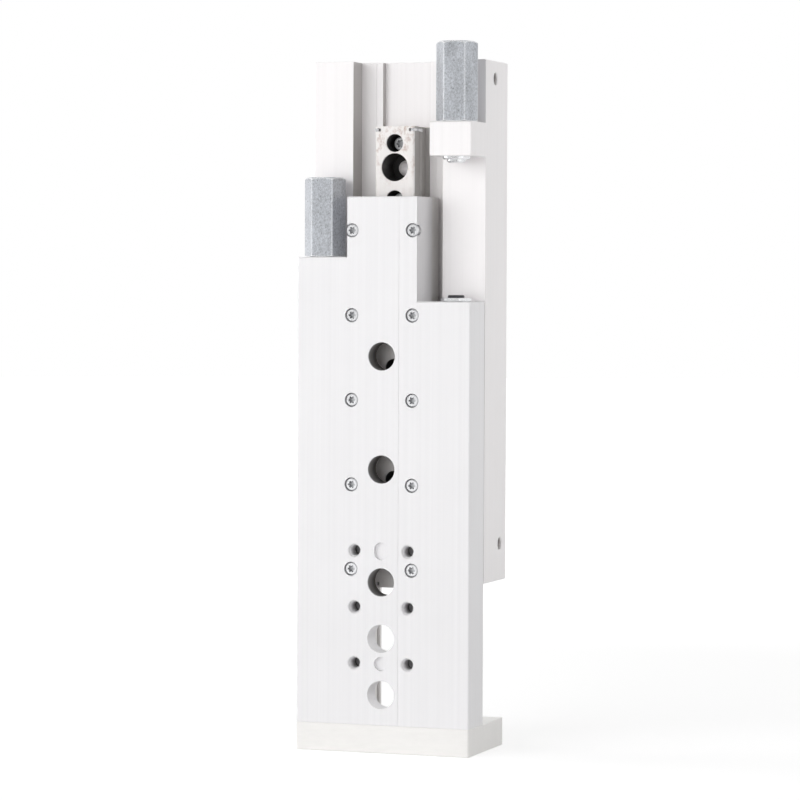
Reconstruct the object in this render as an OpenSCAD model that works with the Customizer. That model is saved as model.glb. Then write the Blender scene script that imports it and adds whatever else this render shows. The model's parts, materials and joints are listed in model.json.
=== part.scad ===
// Pneumatic slide table: a twin-piston cylinder block with a ball-cage guide, a stepped slide plate,
// a yoke that ties the plate to both piston rods, and an adjustable cushioned stop for each end.
// Millimetres. X is the width, +Y points from the slide's face to the housing's back, +Z is the stroke.
// The origin is at the middle of the yoke's lower face, below the middle of the whole depth.

/* [Body] */
// Width of the housing, the slide plate and the yoke
body_w = 65; // [63:1:90]
// Length of the housing along the stroke
housing_len = 186; // [180:1:260]
// Thickness of the housing, from its front land to its back
housing_t = 25; // [24:0.5:34]
// Thickness of the slide plate
slide_t = 16; // [15:0.5:22]
// Thickness of the yoke
yoke_t = 10; // [9:0.5:16]
// Running gap between the slide plate and the housing
face_gap = 0.25; // [0.2:0.05:0.5]
// How far the yoke stays short of the housing's back face
yoke_inset = 2.6; // [1:0.1:4]
// How far the guide lies left of the middle of the body
guide_offset = 0.5; // [0:0.1:1.5]
// Bevel on the outer edges
edge_bevel = 0.4; // [0.2:0.1:0.6]

/* [Motion] */
// Whole stroke between the two stops
stroke = 100; // [60:1:104]
// How far the yoke stands off the housing in the modelled position
shown_extension = 50; // [40:1:56]
// Gap left between a stop and its anvil at the end of the stroke
stop_gap = 0.1; // [0.05:0.05:0.3]

/* [Slide plate] */
// Height of the left shoulder above the yoke
left_shoulder = 166; // [160:1:172]
// Height of the right shoulder above the yoke
right_shoulder = 150.3; // [140:0.1:154]
// Height of the middle tongue above the yoke
tongue_h = 187.3; // [180:0.1:194]
// Width of the middle tongue
tongue_w = 26.2; // [25.4:0.1:28]
// Thickness left in the middle, in front of the guide rail
web_t = 8; // [6.5:0.5:9]
// Diameter of the access holes for the mounting screws
access_d = 10; // [9:0.5:12]
// Heights of the access holes above the yoke
access_rows = [10.85, 30.85, 50.85, 90.85, 130.85];
// Across spacing of the threaded load holes
load_pitch_x = 20; // [19:0.5:22]
// Spacing of the threaded load holes along the stroke
load_pitch_z = 20; // [16:1:22]
// Height of the lowest threaded holes above the yoke
load_first = 21.87; // [19:0.1:24]
// Depth of the threaded load holes
load_depth = 7.5; // [5:0.5:12]
// Diameter of the centring hole and width of the centring slot
centring_d = 5; // [4:0.5:6]
// Length of the centring slot
centring_slot_len = 6.3; // [6:0.1:8]

/* [Guide] */
// Width of the guide rail's head, which the balls run on
rail_w = 14.7; // [14:0.1:15]
// Width of the guide rail's foot in its seat
rail_foot_w = 17.6; // [16.5:0.1:20]
// Height of the guide rail from its seat to its front face
rail_h = 14.7; // [14:0.1:15.2]
// Depth of the seat below the channel's floor
seat_depth = 2.6; // [1.5:0.1:3]
// Length of the guide rail
rail_len = 164.7; // [150:0.1:170]
// How far the guide rail passes the housing's lower end
rail_drop = 2.1; // [0:0.1:3]
// Depth of the channel in the housing
channel_depth = 8.75; // [8.5:0.05:10]
// Width of the channel in the housing
channel_w = 34; // [32:0.5:34.5]
// Gap between the guide rail and each outer rail
track_gap = 0.7; // [0.6:0.05:1]
// Height of the outer rails behind the slide plate
outer_rail_h = 7.4; // [7:0.1:7.6]
// Gap between the lower ends of the outer rails and the yoke
outer_rail_lift = 2; // [1:0.5:6]
// Diameter of the balls
ball_d = 3; // [2.5:0.1:3.2]
// Balls in each cage
ball_count = 20; // [10:1:20]
// Distance between two balls
ball_pitch = 4; // [3.6:0.1:4]
// Thickness of the cage strip
cage_t = 0.4; // [0.3:0.05:0.5]
// Height of the cage strip
cage_h = 6.4; // [5:0.1:6.4]

/* [Rail screws] */
// Screws along each outer rail
outer_screw_count = 5; // [3:1:6]
// Distance between the outer rail screws
outer_screw_pitch = 30; // [22:1:30]
// Height of the lowest outer rail screws above the yoke
outer_screw_first = 55.35; // [50:0.1:60]
// Distance of the outer rail screws from the guide's middle
outer_screw_x = 11.36; // [11.2:0.02:11.5]
// Screws along the guide rail
rail_screw_count = 8; // [6:1:8]
// Distance between the guide rail screws, half the distance between the mounting holes
rail_screw_pitch = 20; // [19:0.5:20]
// Distance of the top guide rail screw from the rail's end
rail_screw_end = 6; // [5:0.5:7]
// Distance of the top mounting hole from the rail's end
mount_end = 14.6; // [14.4:0.1:15]
// Diameter of the mounting holes through the housing
mount_hole_d = 5.5; // [5:0.1:6]

/* [Cylinders] */
// Bore of both cylinders
bore_d = 16; // [14:0.5:16.5]
// Distance between the two cylinders
bore_pitch = 45.5; // [45.2:0.1:46.5]
// Wall between the bores and the housing's back face
bore_wall = 1.5; // [1.4:0.1:1.6]
// Diameter of the piston rods
rod_d = 8; // [6:0.5:9]
// Length of the pistons
piston_len = 18; // [17:0.5:24]
// Running clearance round rods and pistons
run_clear = 0.05; // [0.02:0.01:0.1]
// Distance of the upper air port from the housing's upper end
top_port_end = 6.4; // [6.2:0.1:9]
// Distance of the lower air port from the housing's lower end
low_port_end = 13.3; // [13:0.1:16]
// Depth of the upper air port behind the slide's front face
top_port_depth = 27.3; // [27:0.1:32]
// Depth of the lower air port behind the slide's front face
low_port_depth = 34.2; // [30:0.1:35]

/* [Stops] */
// Size across flats of the hexagon stop caps
cap_flats = 13; // [12.5:0.5:14]
// Length of the hexagon stop caps
cap_len = 28.3; // [26:0.1:32]
// Turn of the caps about their axes, in degrees
cap_turn = 10; // [0:1:30]
// Thickness of the metal that carries each stop
carrier_t = 12; // [10:0.5:14]
// Width of the stop bracket on the housing
bracket_w = 15.5; // [14:0.5:16]
// Depth of the bracket's front behind the slide's front face
bracket_front = 0.5; // [0.3:0.1:2]
// Distance of the bracket's top from the housing's upper end
bracket_end = 22.5; // [18:0.5:24]
// Distance of the stop axes from the sides of the body
stop_side = 7.75; // [7.5:0.25:8.25]
// Diameter of the threaded stop barrels
barrel_d = 9.85; // [9:0.05:10]
// How far the barrels stand out of the metal that carries them
barrel_out = 1.2; // [0.8:0.1:2]
// How far the buffer pins stand out of the barrels
pin_out = 1.1; // [1:0.1:1.5]
// Travel of the buffer pins
pin_travel = 1; // [0.5:0.1:1]
// Diameter of the buffer pins
pin_d = 6.7; // [6:0.1:6.8]
// Width of the lug on the housing that runs in the slide plate's pocket
lug_w = 11; // [10:0.5:12]
// Wall left in front of the pocket
pocket_wall = 2.7; // [2.2:0.1:2.7]
// Clearance between the lug and the pocket
lug_clear = 0.5; // [0.3:0.1:0.6]

/* [Screw sizes] */
// Radius of the M5 threaded holes
thread_r = 2.15; // [2.1:0.05:2.3]
// Clearance between a screw and its thread, or a ring and its groove
fit_clear = 0.05; // [0.02:0.01:0.1]
// Head diameter of the outer rail screws
small_head_d = 4.3; // [4.1:0.1:4.6]
// Head height of the M3 screws
small_head_h = 3; // [2.5:0.1:3]
// How far the heads of the outer rail screws lie below the face
head_sink = 0.4; // [0.2:0.1:0.6]
// Clearance round the heads of the outer rail screws
head_gap = 0.35; // [0.2:0.05:0.4]

/* [Hidden] */
$fn = 64;

// Overlap of cutting shapes past a face
cut = 1;
// Half sizes and depths
half_w = body_w / 2;
depth = slide_t + face_gap + housing_t;
front_y = -depth / 2;
back_y = depth / 2;
slide_back_y = front_y + slide_t;
land_y = slide_back_y + face_gap;
guide_x = -guide_offset;

// Heights
slide_z = yoke_t;
housing_z = yoke_t + shown_extension;
housing_top = housing_z + housing_len;
left_top = slide_z + left_shoulder;
right_top = slide_z + right_shoulder;
tongue_top = slide_z + tongue_h;

// Guide
channel_y = land_y + channel_depth;
seat_y = channel_y + seat_depth;
rail_y = seat_y - rail_h;
rail_z = housing_z - rail_drop;
rail_top = rail_z + rail_len;
track_x = rail_w / 2 + track_gap / 2;
ball_y = slide_back_y + outer_rail_h / 2;
outer_rail_x = rail_w / 2 + track_gap;
seat_clear = 0.1;
groove_r = ball_d / 2 + fit_clear;
cage_margin = 3;
cage_len = (ball_count - 1) * ball_pitch + 2 * cage_margin;
cage_end_gap = 0.5;
web_back_y = front_y + web_t;
web_clear = 0.25;
rail_bevel = 0.5;
floor_step = 0.15;
floor_step_x = 11.4;

// Cage stops: thin plates let into the guide rail's sides, with a tab that stands in the ball track
cage_stop_t = 1;
cage_stop_w = 1.3;
cage_stop_side_gap = 0.7;
cage_stop_deep = 7.6;
cage_stop_tab = 3.6;
cage_stop_end = 0.8;
cage_stop_tip = track_x + cage_t / 2 - 0.15;

// Cylinders
bore_r = bore_d / 2;
bore_y = back_y - bore_wall - bore_r;
rod_r = rod_d / 2;
piston_r = bore_r - run_clear - 0.03;
ring_r = bore_r - run_clear;
plug_r = bore_r - fit_clear;

// Stops: the slide may move up until its anvil meets the upper pin, the rest of the stroke is downwards
stop_y = front_y + slide_t / 2;
right_stop_x = half_w - stop_side - 0.25;
left_stop_x = -half_w + stop_side - 0.25;
bracket_top = housing_top - bracket_end;
tip_drop = carrier_t + barrel_out + pin_out;
pocket_r = 3;
anvil_nut_h = 1.3;
anvil_out = 2.3;
upper_tip = bracket_top - tip_drop;
up_travel = upper_tip - right_top - anvil_out - stop_gap;
down_travel = stroke - up_travel;
lower_tip = left_top - tip_drop;
lug_top = lower_tip - down_travel - stop_gap - anvil_out;
lug_bottom = lug_top - carrier_t;
cage_top = tongue_top - down_travel / 2 - cage_end_gap;
cage_z = cage_top - cage_len;

// Ring places along the bores
circlip_t = 0.8;
circlip_land = 0.9;
circlip_groove = 0.6;
plug_t = 2.3;
top_plug_z = housing_top - circlip_land - circlip_t - 0.1 - plug_t;
cap_z = housing_z + circlip_land + circlip_t + 0.2;
bearing_cap_top = housing_z + low_port_end - thread_r - 0.65;
bearing_cap_h = bearing_cap_top - cap_z;
circlip_w = 0.9;
ear_r = 1.3;
ear_hole_r = 0.6;
ear_in = 1.6;
ear_angle = 25;
o_ring_t = 0.96;
o_groove_w = 1.2;
o_ring_gap = 0.02;
o_groove_deep = 1;
circlip_mouth = 0.7;
plug_groove = 0.55;
plug_dish = 0.8;
cap_groove = 2;
lead_in = 0.6;
rod_seal_h = 2.9;
rod_seal_w = 2;
rod_seal_z = bearing_cap_top - rod_seal_h - 0.15;
lip_t = 0.45;
lip_root = 0.75;
heel_h = 1.2;
piston_top = housing_top - top_port_end - thread_r - 3 - up_travel;
piston_z = piston_top - piston_len;
passage_y = bore_y + bore_r * 0.625;
passage_r = 1.4;
passage_plug_r = 2;
passage_plug_h = 1.8;
passage_plug_sink = 0.1;
rod_seat = 4;
rod_thread_depth = 12;
stub_r = 3;
stub_short = 0.3;
nut_h = 3.2;
nut_sink = 3.6;
nut_flats = 8.6;
nut_pocket_r = 5.2;

// Piston grooves: height of each above the piston's lower face, and its width
seal_w = 2;
low_seal = 2;
magnet_at = 5.6;
magnet_w = 4;
guide_at = 11;
guide_w = 2.6;
high_seal = 15;
groove_floor = 1.8;

// Screws
m3_r = 1.5;
m3_clear_r = 1.7;
m3_head_r = 2.3;
m3_bore_r = 3.2;
rail_screw_seat_y = channel_y - 3.5;
rail_screw_len = 12;
rail_screw_drive_r = 1.5;
outer_drive_r = 1.35;
outer_thread_r = 1.3;
outer_thread_depth = 5.6;
outer_screw_bite = 5;
anvil_screw_r = 2.95;
anvil_floor = 2;
anvil_screw_gap = 0.3;
anvil_hole_depth = carrier_t - anvil_floor;
anvil_screw_len = anvil_hole_depth + anvil_out - anvil_screw_gap;
anvil_nut_flats = 10;
m5_r = 2.5;
m5_head_r = 4.25;
m5_head_h = 5;
yoke_screw_x = 20;
yoke_screw_sink = 0.3;
yoke_screw_bite = 12;
rod_screw_bite = 9;
head_clear = 0.4;
shank_clear = 0.25;
drive_depth = 0.6;
socket_share = 0.55;
hex_land = 0.2;
hex_slope = 0.58;
hex_ease = 0.985;
centring_depth = 1.5;
yoke_hole_depth = 14;
m4_r = 2;
m4_head_r = 3.5;
m4_head_h = 3.6;

// Stops, from z = 0 at the face that the cap sits on. The pin's tip is tip_drop below it
neck_h = 2.9;
barrel_bore_r = 4;
barrel_up = 23.5;
barrel_low = -carrier_t - barrel_out;
pin_head_h = 4;
pin_head_z = barrel_low + neck_h + 0.2;
cushion_z = pin_head_z + pin_head_h + pin_travel + 0.2;
cushion_h = 11.4;
cushion_bevel = 0.5;
cushion_gap = 0.15;
tip_bevel = 0.5;
cap_room = 0.5;
plug_drive_r = 2.3;
plug_drive_h = 3;

// Small edges, and how far one solid runs into the next that it is one piece with
edge_c = 0.4;
mouth_c = 0.3;
join = 0.1;
joint_bevel = 0.15;
die_line_w = 0.2;
die_line_deep = 0.08;
die_line_x = 6.4;

// Finishes
alu = [0.90, 0.90, 0.91];
ground_steel = [0.72, 0.71, 0.70];
zinc = [0.68, 0.71, 0.74];
bright_steel = [0.78, 0.78, 0.80];
black_steel = [0.16, 0.16, 0.17];
bronze = [0.70, 0.55, 0.32];
rubber = [0.10, 0.10, 0.11];
resin = [0.78, 0.76, 0.68];

function mirror_sides() = [-1, 1];
function outer_screw_z(i) = slide_z + outer_screw_first + i * outer_screw_pitch;
function rail_screw_z(i) = rail_top - rail_screw_end - i * rail_screw_pitch;
function mount_z(i) = rail_top - mount_end - i * 2 * rail_screw_pitch;

// A block between two corners
module block(low, high) {
    translate(low) cube(high - low);
}

// A round bar along X, Y or Z
module bar_x(x0, x1, y, z, r) {
    translate([x0, y, z]) rotate([0, 90, 0]) cylinder(h = x1 - x0, r = r);
}

module bar_y(x, y0, y1, z, r) {
    translate([x, y0, z]) rotate([-90, 0, 0]) cylinder(h = y1 - y0, r = r);
}

module bar_z(x, y, z0, z1, r) {
    translate([x, y, z0]) cylinder(h = z1 - z0, r = r);
}

// A countersink at a mouth on the slide's front face
module countersink_y(x, z, y, r, c) {
    translate([x, y - cut, z]) rotate([-90, 0, 0]) cylinder(h = cut + c, r1 = r + c + cut, r2 = r);
}

// A square set on its corner, which cuts a bevel as wide as c from an edge at its middle
module bevel_cutter(h, c) {
    linear_extrude(h) polygon([[c, 0], [0, c], [-c, 0], [0, -c]]);
}

// Cutters that bevel an edge which runs along X, Y or Z
module bevel_x(x0, x1, y, z, c) {
    translate([x0 - cut, y, z]) rotate([0, 90, 0]) bevel_cutter(x1 - x0 + 2 * cut, c);
}

module bevel_y(x, y0, y1, z, c) {
    translate([x, y0 - cut, z]) rotate([-90, 0, 0]) bevel_cutter(y1 - y0 + 2 * cut, c);
}

module bevel_z(x, y, z0, z1, c) {
    translate([x, y, z0 - cut]) bevel_cutter(z1 - z0 + 2 * cut, c);
}

// A pocket with rounded corners, sunk along Y
module milled_pocket(x0, x1, y0, y1, z0, z1, r) {
    block([x0 + r, y0, z0], [x1 - r, y1, z1]);
    block([x0, y0, z0 + r], [x1, y1, z1 - r]);
    for (x = [x0 + r, x1 - r]) {
        for (z = [z0 + r, z1 - r]) {
            bar_y(x, y0, y1, z, r);
        }
    }
}

// A flat ring along Z
module ring(z0, z1, inner, outer) {
    difference() {
        translate([0, 0, z0]) cylinder(h = z1 - z0, r = outer);
        translate([0, 0, z0 - cut]) cylinder(h = z1 - z0 + 2 * cut, r = inner);
    }
}

// A round-section ring that lies in a groove and seals against the bore
module o_ring(z) {
    translate([0, 0, z]) rotate_extrude() translate([bore_r - o_ring_gap - o_ring_t / 2, 0])
        circle(r = o_ring_t / 2, $fn = 24);
}

// Puts a piece on the axis of the left (-1) or right (1) cylinder
module on_bore(side) {
    translate([guide_x + side * bore_pitch / 2, bore_y, 0]) children();
}

module on_both_bores() {
    for (side = mirror_sides()) {
        on_bore(side) children();
    }
}

// A hexagon bar with its corners turned down at both ends and eased along their length
module hex_bar(flats, h, low_bevel, high_bevel) {
    corner = flats / sqrt(3);
    inner = flats / 2 - hex_land;
    outer = corner * hex_ease;
    turned = (outer - inner) * hex_slope;
    intersection() {
        cylinder(h = h, r = corner, $fn = 6);
        rotate_extrude() polygon([
            [0, 0], [inner, 0], [outer, turned * low_bevel],
            [outer, h - turned * high_bevel], [inner, h], [0, h]
        ]);
    }
}

// A cutter for a six-lobe drive, from z = 0 downwards
module lobe_socket(r, h) {
    core = r * 0.74;
    translate([0, 0, -h]) cylinder(h = h + cut, r = core);
    for (a = [0:60:300]) {
        rotate([0, 0, a]) translate([core, 0, -h]) cylinder(h = h + cut, r = r - core, $fn = 24);
    }
}

// A cap screw along +Z with its head's top at z = 0 and its shank below
module cap_screw(head_r, head_h, shank_r, shank_len, drive_r) {
    difference() {
        union() {
            rotate_extrude() polygon([
                [0, -head_h], [head_r, -head_h], [head_r, -mouth_c], [head_r - mouth_c, 0], [0, 0]
            ]);
            translate([0, 0, -head_h - shank_len + edge_c])
                cylinder(h = shank_len - edge_c + join, r = shank_r);
            translate([0, 0, -head_h - shank_len])
                cylinder(h = edge_c, r1 = shank_r - edge_c, r2 = shank_r);
        }
        lobe_socket(drive_r, head_h * drive_depth);
    }
}

// A hexagon-socket cap screw along -Z, its head's top at z = 0 and its shank above
module socket_screw_up(head_r, head_h, shank_r, shank_len) {
    difference() {
        union() {
            rotate_extrude() polygon([
                [0, 0], [head_r - edge_c, 0], [head_r, edge_c], [head_r, head_h], [0, head_h]
            ]);
            translate([0, 0, head_h - join]) cylinder(h = shank_len + join, r = shank_r);
        }
        translate([0, 0, -cut])
            cylinder(h = cut + head_h * drive_depth, r = head_r * socket_share, $fn = 6);
    }
}

// An internal circlip with its two ears
module circlip(z) {
    outer = bore_r + circlip_groove - fit_clear;
    inner = bore_r - circlip_w;
    translate([0, 0, z]) difference() {
        union() {
            difference() {
                cylinder(h = circlip_t, r = outer);
                translate([0, 0, -cut]) cylinder(h = circlip_t + 2 * cut, r = inner);
                translate([0, 0, -cut]) linear_extrude(circlip_t + 2 * cut) polygon([
                    [0, 0], [outer * 2, outer * circlip_mouth], [outer * 2, -outer * circlip_mouth]
                ]);
            }
            for (a = [ear_angle, -ear_angle]) {
                rotate([0, 0, a]) translate([bore_r - ear_in, 0, 0])
                    cylinder(h = circlip_t, r = ear_r, $fn = 32);
            }
        }
        for (a = [ear_angle, -ear_angle]) {
            rotate([0, 0, a]) translate([bore_r - ear_in, 0, -cut])
                cylinder(h = circlip_t + 2 * cut, r = ear_hole_r, $fn = 24);
        }
    }
}

// ---- Housing -------------------------------------------------------------------------------

module housing_bores() {
    on_both_bores() {
        translate([0, 0, housing_z - cut]) cylinder(h = housing_len + 2 * cut, r = bore_r);
        for (z = [housing_z + circlip_land, housing_top - circlip_land - circlip_t]) {
            translate([0, 0, z - fit_clear])
                cylinder(h = circlip_t + 2 * fit_clear, r = bore_r + circlip_groove);
        }
    }
}

module air_port(y, z) {
    bar_x(guide_x + bore_pitch / 2, half_w + cut, y, z, thread_r);
    translate([half_w - mouth_c, y, z]) rotate([0, 90, 0])
        cylinder(h = mouth_c + cut, r1 = thread_r, r2 = thread_r + mouth_c + cut);
}

module cross_passage(z) {
    bar_x(-half_w - cut, guide_x + bore_pitch / 2, passage_y, z, passage_r);
    bar_x(-half_w - cut, -half_w + passage_plug_sink + passage_plug_h, passage_y, z, passage_plug_r);
}

module housing_rail_seat() {
    foot = rail_foot_w / 2 + seat_clear;
    block([guide_x - channel_w / 2, land_y - cut, housing_z - cut],
        [guide_x + channel_w / 2, channel_y, housing_top + cut]);
    block([guide_x - floor_step_x, channel_y - cut, housing_z - cut],
        [guide_x + floor_step_x, channel_y + floor_step, housing_top + cut]);
    block([guide_x - foot, channel_y - cut, housing_z - cut],
        [guide_x + foot, seat_y, housing_top + cut]);
    for (i = [0 : rail_screw_count - 1]) {
        bar_y(guide_x, seat_y - cut, rail_screw_seat_y + rail_screw_len + 1, rail_screw_z(i), m3_r);
    }
    for (i = [0 : rail_screw_count / 2 - 1]) {
        bar_y(guide_x, seat_y - cut, back_y + cut, mount_z(i), mount_hole_d / 2);
    }
}

module housing() {
    color(alu) difference() {
        union() {
            block([-half_w, land_y, housing_z], [half_w, back_y, housing_top]);
            block([half_w - bracket_w, front_y + bracket_front, bracket_top - carrier_t],
                [half_w, land_y + cut, bracket_top]);
            block([left_stop_x - lug_w / 2, front_y + pocket_wall + lug_clear, lug_bottom],
                [left_stop_x + lug_w / 2, land_y + cut, lug_top]);
        }
        housing_rail_seat();
        housing_bores();
        air_port(front_y + top_port_depth, housing_top - top_port_end);
        air_port(front_y + low_port_depth, housing_z + low_port_end);
        cross_passage(housing_top - top_port_end);
        cross_passage(housing_z + low_port_end);
        bar_z(right_stop_x, stop_y, bracket_top - carrier_t - cut, bracket_top + cut,
            barrel_d / 2 + fit_clear);
        bar_z(left_stop_x, stop_y, lug_top - anvil_hole_depth, lug_top + cut, anvil_screw_r + fit_clear);
        for (side = mirror_sides()) {
            bevel_z(side * half_w, back_y, housing_z, housing_top, edge_bevel);
            bevel_y(side * half_w, front_y, back_y, housing_z, edge_bevel);
            bevel_y(side * half_w, land_y, back_y, housing_top, edge_bevel);
        }
        bevel_z(-half_w, land_y, housing_z, housing_top, edge_bevel);
        bevel_z(half_w, front_y + bracket_front, bracket_top - carrier_t, bracket_top, edge_bevel);
        bevel_x(half_w - bracket_w, half_w, front_y + bracket_front, bracket_top, edge_bevel);
        bevel_x(-half_w, half_w, back_y, housing_z, edge_bevel);
        bevel_x(-half_w, half_w, back_y, housing_top, edge_bevel);
    }
}

module passage_plugs() {
    color(bright_steel) for (z = [housing_top - top_port_end, housing_z + low_port_end]) {
        difference() {
            bar_x(-half_w + passage_plug_sink, -half_w + passage_plug_h, passage_y, z,
                passage_plug_r - fit_clear);
            translate([-half_w - cut, passage_y, z]) rotate([0, 90, 0])
                cylinder(h = cut + 1, r = passage_plug_r / 2, $fn = 6);
        }
    }
}

module top_plug() {
    difference() {
        translate([0, 0, top_plug_z]) cylinder(h = plug_t, r = plug_r);
        ring(top_plug_z + plug_groove, top_plug_z + plug_groove + o_groove_w,
            plug_r - o_groove_deep, plug_r + cut);
        translate([0, 0, top_plug_z + plug_t - plug_dish])
            cylinder(h = plug_dish + cut, r = bore_r * 0.4);
    }
}

module top_plug_left() {
    color(alu) on_bore(-1) top_plug();
}

module top_plug_right() {
    color(alu) on_bore(1) top_plug();
}

module top_plug_seals() {
    color(rubber) on_both_bores() o_ring(top_plug_z + plug_groove + o_groove_w / 2);
}

module top_circlips() {
    color(black_steel) on_both_bores() rotate([0, 0, 90])
        circlip(housing_top - circlip_land - circlip_t);
}

// The bearing cap guides the rod and holds the rod seal in a recess on its pressure side
module bearing_cap() {
    recess = rod_seal_z - fit_clear;
    difference() {
        translate([0, 0, cap_z]) cylinder(h = bearing_cap_h, r = plug_r);
        translate([0, 0, cap_z - cut]) cylinder(h = bearing_cap_h + 2 * cut, r = rod_r + run_clear);
        translate([0, 0, recess])
            cylinder(h = bearing_cap_top - recess + cut, r = rod_r + rod_seal_w + fit_clear);
        ring(cap_z + cap_groove, cap_z + cap_groove + o_groove_w, plug_r - o_groove_deep, plug_r + cut);
        translate([0, 0, cap_z - cut])
            cylinder(h = cut + lead_in, r1 = rod_r + lead_in + cut, r2 = rod_r);
    }
}

module bearing_cap_left() {
    color(bronze) on_bore(-1) bearing_cap();
}

module bearing_cap_right() {
    color(bronze) on_bore(1) bearing_cap();
}

module bearing_cap_seals() {
    color(rubber) on_both_bores() o_ring(cap_z + cap_groove + o_groove_w / 2);
}

// A U-cup: two lips that stand up from a solid heel
module rod_seals() {
    inner = rod_r + run_clear;
    outer = rod_r + rod_seal_w;
    color(rubber) on_both_bores() translate([0, 0, rod_seal_z]) rotate_extrude() polygon([
        [inner, 0], [outer, 0], [outer, rod_seal_h], [outer - lip_t, rod_seal_h],
        [outer - lip_root, heel_h], [inner + lip_root, heel_h], [inner + lip_t, rod_seal_h],
        [inner, rod_seal_h]
    ]);
}

module bottom_circlips() {
    color(black_steel) on_both_bores() rotate([0, 0, -90]) circlip(housing_z + circlip_land);
}

// ---- Guide ---------------------------------------------------------------------------------

function cage_stop_places() = [rail_z + cage_stop_end, rail_top - cage_stop_t - cage_stop_end];

// A block left (-1) or right (1) of the guide's middle, between two distances from it
module side_block(side, near, far, y0, y1, z0, z1) {
    low = side > 0 ? near : -far;
    high = side > 0 ? far : -near;
    block([guide_x + low, y0, z0], [guide_x + high, y1, z1]);
}

// The guide rail: a ground steel bar with a wider foot and one ball track on each side
module guide_rail() {
    head = rail_w / 2;
    foot = rail_foot_w / 2;
    color(ground_steel) difference() {
        translate([guide_x, 0, rail_z]) linear_extrude(rail_len) polygon([
            [-head + rail_bevel, rail_y], [head - rail_bevel, rail_y], [head, rail_y + rail_bevel],
            [head, channel_y], [foot, channel_y], [foot, seat_y],
            [-foot, seat_y], [-foot, channel_y], [-head, channel_y], [-head, rail_y + rail_bevel]
        ]);
        for (side = mirror_sides()) {
            bar_z(guide_x + side * track_x, ball_y, rail_z - cut, rail_top + cut, groove_r);
            for (z = cage_stop_places()) {
                side_block(side, head - cage_stop_w - cage_stop_side_gap, head + cut,
                    rail_y - cut, rail_y + cage_stop_deep + fit_clear,
                    z - fit_clear, z + cage_stop_t + fit_clear);
            }
        }
        for (i = [0 : rail_screw_count - 1]) {
            bar_y(guide_x, rail_y - cut, seat_y + cut, rail_screw_z(i), m3_clear_r);
            bar_y(guide_x, rail_y - cut, rail_screw_seat_y, rail_screw_z(i), m3_bore_r);
        }
        for (i = [0 : rail_screw_count / 2 - 1]) {
            bar_y(guide_x, rail_y - cut, seat_y + cut, mount_z(i), mount_hole_d / 2);
            bar_y(guide_x, rail_y - cut, channel_y, mount_z(i), access_d / 2);
        }
    }
}

module guide_rail_screws() {
    color(bright_steel) for (i = [0 : rail_screw_count - 1]) {
        translate([guide_x, rail_screw_seat_y - small_head_h, rail_screw_z(i)]) rotate([90, 0, 0])
            cap_screw(m3_head_r, small_head_h, m3_r - fit_clear, rail_screw_len, rail_screw_drive_r);
    }
}

module cage_stops() {
    inner = rail_w / 2 - cage_stop_w;
    back = rail_y + cage_stop_deep;
    color(bright_steel) for (side = mirror_sides()) {
        for (z = cage_stop_places()) {
            side_block(side, inner, rail_w / 2, rail_y, back, z, z + cage_stop_t);
            side_block(side, inner, cage_stop_tip, rail_y + cage_stop_tab, back, z, z + cage_stop_t);
        }
    }
}

module outer_rail(side) {
    low = side > 0 ? outer_rail_x : -tongue_w / 2;
    high = side > 0 ? tongue_w / 2 : -outer_rail_x;
    rail_back = slide_back_y + outer_rail_h;
    color(ground_steel) difference() {
        block([guide_x + low, slide_back_y, slide_z + outer_rail_lift],
            [guide_x + high, rail_back, tongue_top]);
        bar_z(guide_x + side * track_x, ball_y, slide_z, tongue_top + cut, groove_r);
        for (x = [low, high]) {
            bevel_z(guide_x + x, rail_back, slide_z, tongue_top, edge_bevel);
        }
        for (i = [0 : outer_screw_count - 1]) {
            bar_y(guide_x + side * outer_screw_x, slide_back_y - cut, slide_back_y + outer_thread_depth,
                outer_screw_z(i), outer_thread_r);
        }
    }
}

module outer_rail_left() {
    outer_rail(-1);
}

module outer_rail_right() {
    outer_rail(1);
}

module outer_rail_screws() {
    color(bright_steel) for (side = mirror_sides()) {
        for (i = [0 : outer_screw_count - 1]) {
            translate([guide_x + side * outer_screw_x, front_y + head_sink, outer_screw_z(i)])
                rotate([90, 0, 0])
                cap_screw(small_head_d / 2, small_head_h, outer_thread_r - fit_clear,
                    slide_t - head_sink - small_head_h + outer_screw_bite, outer_drive_r);
        }
    }
}

// One strip with a round window for each ball
module ball_cage(side) {
    x = guide_x + side * track_x;
    color(bronze) difference() {
        block([x - cage_t / 2, ball_y - cage_h / 2, cage_z],
            [x + cage_t / 2, ball_y + cage_h / 2, cage_top]);
        for (i = [0 : ball_count - 1]) {
            bar_x(x - cut, x + cut, ball_y, cage_z + cage_margin + i * ball_pitch, groove_r);
        }
    }
}

module balls(side) {
    color(bright_steel) for (i = [0 : ball_count - 1]) {
        translate([guide_x + side * track_x, ball_y, cage_z + cage_margin + i * ball_pitch])
            sphere(d = ball_d, $fn = 32);
    }
}

module ball_cage_left() {
    ball_cage(-1);
}

module ball_cage_right() {
    ball_cage(1);
}

module balls_left() {
    balls(-1);
}

module balls_right() {
    balls(1);
}

// ---- Slide ---------------------------------------------------------------------------------

module slide_outline() {
    tongue = tongue_w / 2;
    polygon([
        [-half_w, slide_z], [half_w, slide_z], [half_w, right_top], [guide_x + tongue, right_top],
        [guide_x + tongue, tongue_top], [guide_x - tongue, tongue_top],
        [guide_x - tongue, left_top], [-half_w, left_top]
    ]);
}

module load_holes() {
    for (side = mirror_sides()) {
        for (i = [0 : 2]) {
            x = guide_x + side * load_pitch_x / 2;
            z = slide_z + load_first + i * load_pitch_z;
            bar_y(x, front_y - cut, front_y + load_depth, z, thread_r);
            countersink_y(x, z, front_y, thread_r, edge_c);
        }
    }
}

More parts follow.
